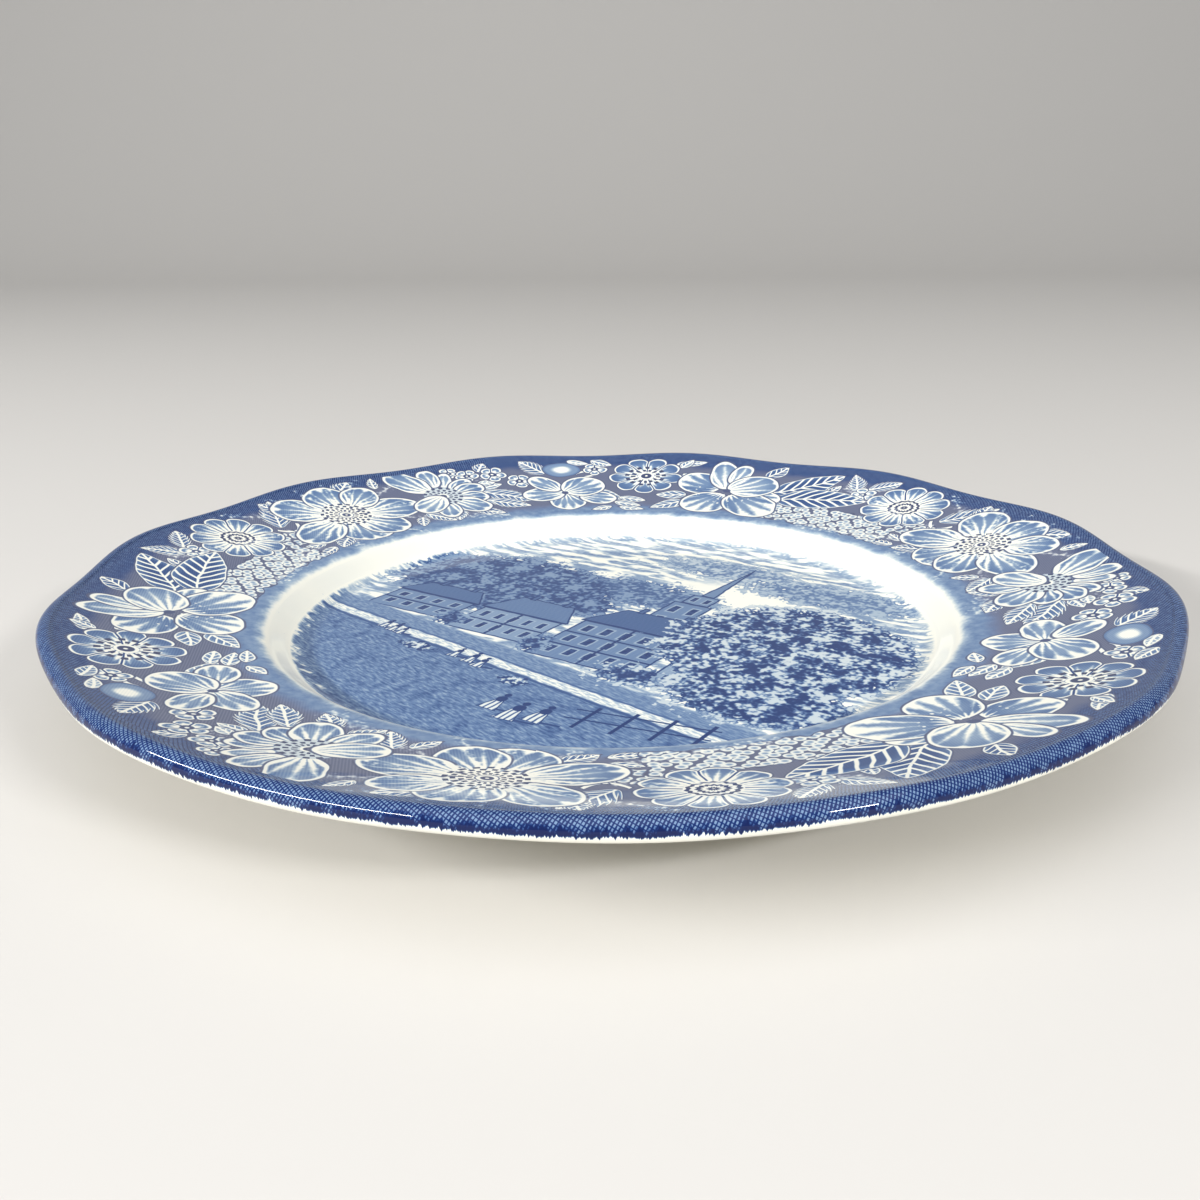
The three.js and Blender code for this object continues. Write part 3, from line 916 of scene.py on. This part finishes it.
class Village(Print):
    """A made-up village green: plain houses, a tower, a lane, a lawn, trees and walkers."""

    def __init__(self, name):
        super().__init__(name)
        self.x, self.y = self.split(self.warped(self.raw, 4.0, 0.8))
        self.lines = self.wave(self.y * (1 / 0.7))
        self.dabs = self.noise(self.raw, 1.5, 1.5)
        self.clumps = self.noise(self.raw, 5.5, 2.0)
        self.streaks = self.noise(self.local(self.raw, (0, 0), 0.0, (3.4, 1.0)), 2.6, 2.5)

    def box(self, left, right, low, high):
        """Distance into a box."""
        side = self.scaled(abs(self.x - (left + right) / 2), -1, (right - left) / 2)
        level = self.scaled(abs(self.y - (low + high) / 2), -1, (high - low) / 2)
        return self.least(side, level)

    def gable(self, middle, half, low, high):
        """Distance into a triangle that stands on a level line."""
        slope = half / (high - low)
        side = self.scaled(self.y, -slope, high * slope) - abs(self.x - middle)
        return self.least(side, self.y - low)

    def tone(self, depth, swing=0.12):
        return self.scaled(self.lines, swing, depth - swing / 2)

    def over(self, share, ink):
        self.ink = self.mix(share, self.ink, ink)

    def block(self, distance, depth, edge=0.95):
        """Lays a drawn shape with a dark line just inside its edge."""
        ink = self.mix(self.step(distance, 0.3, 0.6), edge, depth)
        self.over(self.step(distance, -0.2, 0.2), ink)

    def windows(self, left, right, low, high, columns, rows):
        """A grid of small dark windows in pale frames."""
        across = self.wave((self.x - left) * (columns / (right - left)))
        up = self.wave((self.y - low) * (rows / (high - low)))
        inside = self.step(self.box(left, right, low, high), 0.0, 0.2)
        self.over(self.step(across, 0.42, 0.5) * self.step(up, 0.3, 0.38) * inside, 0.24)
        pane = self.step(across, 0.6, 0.68) * self.step(up, 0.44, 0.52) * inside
        self.over(pane, self.scaled(self.dabs, 0.8, 0.5))

    def house(self, left, right, ground, eaves, ridge, columns, rows, wall=0.3, roof=0.5):
        middle = (left + right) / 2
        half = (right - left) / 2 + 1.2
        hip = self.gable(middle, half, eaves, eaves + (ridge - eaves) * 2.6)
        self.block(self.least(hip, ridge - self.y), self.tone(roof, 0.24))
        self.block(self.box(left, right, ground, eaves), self.tone(wall))
        self.windows(left + 1.2, right - 1.2, ground + 1.4, eaves - 0.8, columns, rows)
        for share in (0.3, 0.72):
            stack = left + (right - left) * share
            self.block(self.box(stack - 0.9, stack + 0.9, ridge - 1.0, ridge + 3.0), 0.6)

    def foliage(self, x, y, width, height, ragged=7.0, dark=1.0, light=0.28, turn=0.0):
        """A mass of leaves: a ragged outline filled with clumps of dabs."""
        unit = self.local(self.raw, (x, y), turn, (width, height))
        distance = self.scaled(self.length(unit), -height, height)
        distance = self.scaled(self.clumps, ragged * 2, distance - ragged)
        distance = self.scaled(self.dabs, 13.0, distance - 6.5)
        ink = self.step(self.clumps + self.dabs, 0.86, 1.16, dark, light)
        self.over(self.step(distance, -0.5, 0.9), ink)

    def shrub(self, x, y, width, height, dark=0.9):
        unit = self.local(self.raw, (x, y), 0.0, (width, height))
        q = self.scaled(self.dabs, 1.8, self.length(unit) - 0.9)
        ink = self.step(self.dabs, 0.42, 0.56, dark, 0.08)
        self.over(self.step(q, 1.0, 0.85), ink)

    def stroke(self, x0, y0, x1, y1, width, depth=1.0):
        """A straight stroke between two points."""
        run = math.hypot(x1 - x0, y1 - y0)
        turn = math.atan2(y1 - y0, x1 - x0)
        along, side = self.split(self.local(self.raw, (x0, y0), turn))
        distance = self.least(self.scaled(abs(side), -1, width / 2), along, run - along)
        self.over(self.step(distance, -0.1, 0.12), depth)

    def walker(self, x, y, tall, half):
        """A small figure in a long pale dress, with a dark head and a shadow at its feet."""
        self.stroke(x, y + 0.3, x + tall * 0.8, y + tall * 0.14, 0.8, 0.85)
        dress = self.gable(x, tall * half, y, y + tall)
        dress = self.least(dress, y + tall * 0.62 - self.y)
        fold = self.step(self.wave((self.x - x) * (1 / 1.3)), 0.5, 0.8, 0.06, 0.7)
        self.over(self.step(dress, -0.34, -0.14), 0.95)
        self.over(self.step(dress, -0.1, 0.1), fold)
        for level, wide, high in ((0.68, 0.15, 0.17), (0.95, 0.1, 0.1)):
            unit = self.local(self.raw, (x, y + tall * level), 0.0, (tall * wide, tall * high))
            self.over(self.step(self.length(unit), 1.1, 0.9), 0.95)


def draw_village():
    art = Village("village_print")
    # sky with long clouds, left open in the middle
    cloud = art.step(art.streaks, 0.42, 0.6)
    open_sky = art.step(art.length(art.local(art.raw, (14, 32), 0.0, (24, 14))), 0.5, 1.25)
    art.ink = cloud * open_sky * art.scaled(art.dabs, 0.5, 0.1)
    art.foliage(36, 46, 27, 9, 7, 0.5, 0.2)
    art.foliage(4, 52, 22, 8, 6, 0.46, 0.15)
    # far trees, behind the houses
    art.foliage(-8, 24, 24, 10, 6, 0.66, 0.3)
    art.foliage(-42, 12, 34, 22, 8, 0.82, 0.34)
    art.foliage(-20, 8, 16, 10, 5, 0.86, 0.36)
    # the tower and its plain spire
    art.block(art.gable(9.5, 2.0, 30, 58), 0.42)
    art.block(art.box(5.5, 13.5, 23, 30), art.tone(0.4))
    art.windows(5.8, 13.2, 23.6, 29.4, 2, 1)
    art.block(art.box(4.0, 15.0, 4, 23), art.tone(0.44))
    art.windows(4.4, 14.6, 5, 22, 2, 2)
    # a row of houses
    art.house(-62, -37, -19, -6, 2, 4, 2, 0.42, 0.58)
    art.house(-34, -10, -22, -6, 5, 5, 2, 0.34, 0.5)
    art.house(-7, 22, -26, -1, 11, 5, 3, 0.44, 0.64)
    art.house(25, 44, -27, -12, -5, 4, 2, 0.3, 0.5)
    for x0, y0, x1, y1 in ((-62, -6, -36, -6), (-62, -12.5, -37, -12.5), (-35, -6, -9, -6),
                           (-34, -14, -10, -14), (-8, -1, 23, -1), (-7, -9.5, 22, -9.5),
                           (-7, -17.5, 22, -17.5), (7.5, -26, 7.5, -1), (-22, -22, -22, -6)):
        art.stroke(x0, y0, x1, y1, 0.7, 0.95)
    for x, y, width, height in ((-36, -17, 5, 5), (-8, -20, 4, 6), (23, -25, 4, 6)):
        art.foliage(x, y, width, height, 2, 0.9, 0.3)
    # the near ground, its pale lane and the lawn in front of that
    level = art.scaled(art.x, 0.155, art.y)
    level = art.scaled(art.streaks, 1.2, level - 0.6)
    blades = art.noise(art.local(art.raw, (0, 0), -0.25, (3.6, 1.0)), 0.6, 2.0)
    grass = art.scaled(blades, 0.9, 0.02) + art.step(art.clumps, 0.5, 0.7, 0.0, 0.14)
    art.over(art.step(level, -27.0, -28.5), art.scaled(blades, 0.6, 0.12))
    art.over(art.step(level, -33.9, -34.5), art.step(blades, 0.4, 0.65, 0.02, 0.2))
    art.over(art.step(level, -37.0, -37.8), grass)
    art.over(art.step(abs(level + 38.0), 0.6, 0.3), 0.7)
    art.over(art.step(abs(level + 33.9), 0.5, 0.2), 0.6)
    for x, y, tall in ((-46, -31, 5.0), (-42.5, -32, 5.4), (-39.5, -32.4, 4.6),
                       (-14, -38, 6.0), (-10.5, -39, 5.6), (-19, -37, 5.2)):
        art.walker(x, y, tall, 0.26)
    for x, y, tall in ((6.0, -55.5, 8.0), (12.0, -58.0, 9.0), (17.5, -56.0, 8.2)):
        art.walker(x, y, tall, 0.28)
    # a rail fence at the lane's corner
    for x in (26, 34, 42, 50):
        art.stroke(x, -54 + (x - 26) * 0.2, x, -43 + (x - 26) * 0.2, 0.9)
    for y in (-46.0, -50.5):
        art.stroke(22, y, 52, y + 6.0, 0.5)
    # trees in front on the right
    art.stroke(40.5, -33, 38, -6, 2.2, 0.9)
    art.stroke(38, -14, 48, 2, 1.8, 0.95)
    art.stroke(39, -18, 28, -4, 1.4, 0.95)
    art.foliage(43, 7, 30, 29, 8, 0.95, 0.1)
    art.foliage(50, -22, 22, 13, 7, 0.95, 0.12)
    art.foliage(20, -26, 9, 5, 4, 0.9, 0.12)
    art.shrub(-30, -36, 5, 2.4)
    art.shrub(2, -41, 4, 2.4)
    # the print fades out raggedly towards the shoulder
    away = art.length(art.raw)
    edge = art.scaled(art.streaks, 20.0, away - 12.0)
    edge = art.scaled(art.dabs, 8.0, edge - 4.0)
    edge = edge - art.step(art.along(art.raw, (0.56, -0.83, 0)), 30.0, 64.0, 0.0, 5.0)
    art.ink = art.ink * art.step(edge, 75.4, 71.6) * art.step(away, 75.3, 74.3)
    return glazed(art)


def draw_cream():
    """Bare cream body under clear glaze, with a few faint specks."""
    art = Print("cream_glaze")
    patch = art.noise(art.raw, 22.0, 2.0)
    specks = art.cells(art.raw, 5.0)
    art.ink = art.step(patch, 0.35, 0.7, 0.0, 0.012) + art.step(specks, 0.035, 0.02, 0.0, 0.10)
    return glazed(art)


def draw_mark():
    """A plain wreath of leaves, with no lettering."""
    art = Print("wreath_mark")
    rho, angle = art.polar(art.raw)
    stem = art.step(abs(rho - WREATH_RADIUS), 0.22, 0.12)
    leafy = art.wave(art.scaled(rho, 0.10, angle * (22 / TAU)))
    body = art.scaled(abs(rho - WREATH_RADIUS), -1, 1.5) - art.scaled(leafy, 1.5, 0.0)
    art.ink = art.most(stem * 0.9, art.step(body, -0.12, 0.12) * 0.75)
    return glazed(art)


def draw_biscuit():
    """Bare fired clay on the foot ring: fine grain, tiny darker dots and a little wear."""
    art = Print("biscuit_clay")
    grain = art.noise(art.raw, 0.5, 3.0)
    cloud = art.noise(art.raw, 9.0, 3.0)
    dark_dots = art.cells(art.raw, 1.4)
    shade = art.step(grain, 0.3, 0.75, 0.0, 0.18) + art.step(cloud, 0.4, 0.75, 0.0, 0.35)
    # tiny darker brown dots scattered at random over the clay
    shade = shade + art.step(dark_dots, 0.13, 0.05, 0.0, 0.45)
    colour = art.mix_colour(shade, (0.80, 0.74, 0.62, 1), (0.40, 0.32, 0.23, 1))
    shader = art.surface()
    art.feed(shader.inputs["Base Color"], colour)
    art.feed(shader.inputs["Roughness"], art.ramp(grain, 0.3, 0.7, 0.7, 0.9))
    art.feed(shader.inputs["Normal"], art.bump(grain, 0.5, 0.0001))
    return art.material


# ---- The pieces ----
face = face_profile()
lip_upper, lip_lower = lip_profile()
under = under_profile()
full_path = face + lip_upper + lip_lower + under
outer_skin = Skin(full_path)
base_path = list(FOOT_COVE) + [(r, BASE_UNDER) for r in (60, 44, 28, 12, 0)]
base_skin = Skin(base_path)


def row_at(skin, radius):
    """The first point of the skin's clay profile at or beyond a radius."""
    return int(np.argmax(skin.clay[:, 0] >= radius - 1e-6))


scene_row = row_at(outer_skin, SCENE_RADIUS)
border_row = row_at(outer_skin, BORDER_INNER)
band_row = row_at(outer_skin, BORDER_OUTER)
band_end_row = len(face) + len(lip_upper)
last_row = len(full_path) - 1


def at_plan(top, run, azimuths):
    return top


def turned(top, turn):
    """Plan coordinates turned about the plate's axis."""
    c, s = math.cos(turn), math.sin(turn)
    x = c * top[:, :, 0] - s * top[:, :, 1]
    y = s * top[:, :, 0] + c * top[:, :, 1]
    return np.stack([x, y, np.zeros_like(x)], axis=2)


def at_scene(top, run, azimuths):
    return turned(top, QUARTER - SCENE_UP)


def at_border(length):
    """Plan coordinates turned back onto the first border length, so that all lengths match."""
    return lambda top, run, azimuths: turned(top, -length * TAU / BORDER_LENGTHS)


def at_band(top, run, azimuths):
    """Distance round the lip and distance out from the border."""
    around = np.broadcast_to(azimuths[None, :] * LIP_RADIUS, top.shape[:2])
    out = np.broadcast_to((run - run[0])[:, None], top.shape[:2])
    return np.stack([around, out, np.zeros_like(out)], axis=2)


cream = draw_cream()
village = draw_village()
band = draw_edge_band()
border_sheets = [draw_border(i) for i in range(4)]

for i in range(4):
    name = "village_quarter_%d" % (i + 1)
    quarter = outer_skin.shell(name, 0, scene_row, i * 90, (i + 1) * 90, at_scene)
    finish_piece(quarter, village, "scene_blue", "centre_scene_print")

ring = outer_skin.shell("cream_ring_glaze", scene_row, border_row, 0, STEPS, at_plan)
finish_piece(ring, cream, "glaze", "face_glaze")

for i in range(12):
    start, end = i * SECTOR, (i + 1) * SECTOR
    length = i // 4
    name = "border_%d%s" % (length + 1, "abcd"[i % 4])
    sector = outer_skin.shell(name, border_row, band_row, start, end, at_border(length))
    finish_piece(sector, border_sheets[i % 4], "border_blue", "border_print_%d" % (length + 1))
    name = "edge_band_%02d" % (i + 1)
    strip = outer_skin.shell(name, band_row, band_end_row, start, end, at_band)
    finish_piece(strip, band, "edge_cobalt", "edge_band_print")

skirt = outer_skin.shell("underside_glazed", band_end_row, last_row, 0, STEPS, at_plan)
finish_piece(skirt, cream, "glaze", "underside_glaze")
bottom = base_skin.shell("base_glazed", 0, len(base_path) - 1, 0, STEPS, at_plan)
finish_piece(bottom, cream, "glaze", "base_glaze")


def build_body():
    """The clay itself, closed: it shows on the foot ring, where the glaze is wiped off."""
    path = full_path[:-1] + list(FOOT_RING) + list(FOOT_RING_IN) + base_path[1:]
    azimuths = np.radians(BORDER_FROM + np.arange(STEPS) * 360 / STEPS)
    points = np.array(path, float)
    grid = revolved(points, azimuths)
    rows, columns = grid.shape[:2]
    index = np.arange(rows * columns).reshape(rows, columns)
    index[0] = index[0, 0]
    index[-1] = index[-1, 0]
    faces = []
    for i in range(rows - 1):
        for j in range(columns):
            k = (j + 1) % columns
            corners = [index[i, j], index[i + 1, j], index[i + 1, k], index[i, k]]
            faces.append([c for n, c in enumerate(corners) if c != corners[n - 1]])
    grid = grid.reshape(-1, 3)
    return mesh_object("clay_body", grid, faces, grid)[0]


finish_piece(build_body(), draw_biscuit(), "biscuit", "plate_body")


def build_mark():
    """A thin disc of glazed print, level with the base's glaze."""
    radii = np.array([MARK_RADIUS, 6.0, 3.0, 0.0])[:, None]
    azimuths = np.radians(np.arange(MARK_STEPS) * 360 / MARK_STEPS)
    height = np.full((len(radii), MARK_STEPS), BASE_UNDER - LAYERS - MARK_LIFT)
    flat = np.stack([radii * np.cos(azimuths), radii * np.sin(azimuths), height], axis=2)
    top = flat + np.array([0, MARK_OFFSET, 0])
    bottom = top + np.array([0, 0, MARK_THICKNESS])
    normals = np.broadcast_to(np.array([0.0, 0.0, -1.0]), top.shape)
    return closed_mesh("wreath_mark_print", top, bottom, normals, flat, True)


finish_piece(build_mark(), draw_mark(), "mark_blue", "base_mark_print")

# ---- Stage, light and camera ----


def stage_material():
    material = new_material("pale_table")
    shader = Sheet(material.node_tree).surface()
    shader.inputs["Base Color"].default_value = (0.62, 0.60, 0.57, 1)
    shader.inputs["Roughness"].default_value = 0.6
    return material


def build_stage():
    """A level floor that curves up into a backdrop behind."""
    half = 9.0
    bend_from = 1.2
    bend = 0.8
    height = 3.0
    profile = [(-half, 0.0), (bend_from, 0.0)]
    for a in np.linspace(0, QUARTER, 13)[1:]:
        profile.append((bend_from + bend * math.sin(a), bend - bend * math.cos(a)))
    profile.append((bend_from + bend, height))
    points = [(x, y, z) for y, z in profile for x in (-half, half)]
    faces = [(2 * i, 2 * i + 1, 2 * i + 3, 2 * i + 2) for i in range(len(profile) - 1)]
    mesh = bpy.data.meshes.new("studio_floor")
    mesh.from_pydata(points, [], faces)
    mesh.shade_smooth()
    floor = bpy.data.objects.new("studio_floor", mesh)
    bpy.context.scene.collection.objects.link(floor)
    mesh.materials.append(stage_material())


def add_light(name, place, size, watts):
    """A flat lamp that faces the plate."""
    data = bpy.data.lights.new(name, "AREA")
    data.shape = "RECTANGLE"
    data.size, data.size_y = size
    data.energy = watts
    light = bpy.data.objects.new(name, data)
    light.location = place
    light.rotation_euler = (-Vector(place)).to_track_quat("-Z", "Y").to_euler()
    bpy.context.scene.collection.objects.link(light)


def build_world():
    world = bpy.data.worlds.new("studio_air")
    world.use_nodes = True
    background = world.node_tree.nodes["Background"]
    background.inputs["Color"].default_value = (0.95, 0.97, 1.0, 1)
    background.inputs["Strength"].default_value = 0.47
    bpy.context.scene.world = world


def build_camera():
    """Where the fit to the photograph puts it."""
    data = bpy.data.cameras.new("photo_camera")
    data.sensor_width = 36.0
    data.lens = 37.35
    camera = bpy.data.objects.new("photo_camera", data)
    camera.location = (-0.0019, -0.28145, 0.1098)
    camera.rotation_euler = (math.radians(71.30), math.radians(0.52), 0.0)
    bpy.context.scene.collection.objects.link(camera)
    bpy.context.scene.camera = camera


build_stage()
build_world()
build_camera()
add_light("overhead_softbox", (0.12, -0.5, 1.45), (2.2, 1.6), 10.0)
add_light("left_strip", (-1.05, -0.62, 0.6), (1.0, 0.06), 17)
add_light("right_strip", (0.68, -0.85, 0.6), (0.3, 0.06), 8)
bpy.context.scene.view_settings.view_transform = "Standard"
